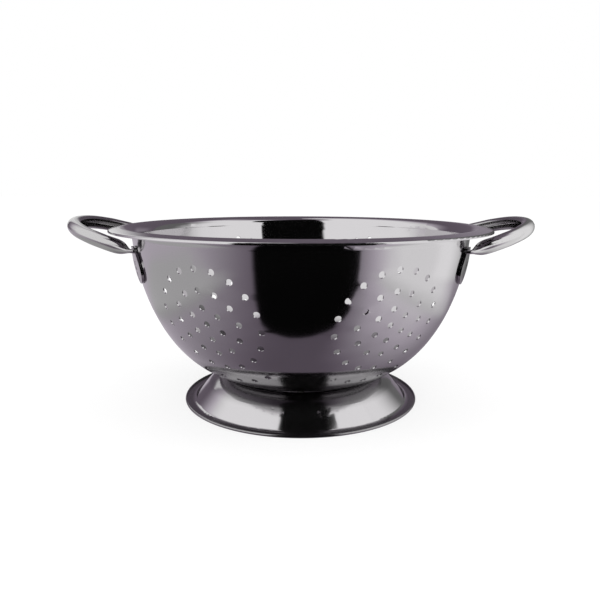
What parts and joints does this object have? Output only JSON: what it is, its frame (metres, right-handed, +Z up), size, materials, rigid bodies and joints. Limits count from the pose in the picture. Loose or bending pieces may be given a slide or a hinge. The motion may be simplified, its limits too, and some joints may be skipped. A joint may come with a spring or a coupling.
{
  "type": "colander",
  "caption": "Footed round colander of polished steel with drain holes in round groups and a hollow loop handle on each side, for draining and rinsing food.",
  "frame": {"origin": "on the bowl's axis, in the plane that the foot rests on", "axes": "+X through the middle of the right handle, -Y towards the picture's camera, +Z up out of the bowl's mouth"},
  "size_m": [0.3184, 0.26, 0.1296],
  "materials": {
    "bowl_steel": "mirror polished stainless steel",
    "foot_steel": "mirror polished stainless steel",
    "handle_steel": "mirror polished stainless steel",
    "weld_steel": "dull spot weld metal, sealed between two sheets"
  },
  "bodies": {
    "root": {"bowl": "bowl_steel", "foot_ring": "foot_steel", "handle_right": "handle_steel", "handle_left": "handle_steel", "handle_right_spot_welds": "weld_steel", "handle_left_spot_welds": "weld_steel", "foot_spot_welds": "weld_steel"}
  },
  "joints": []
}
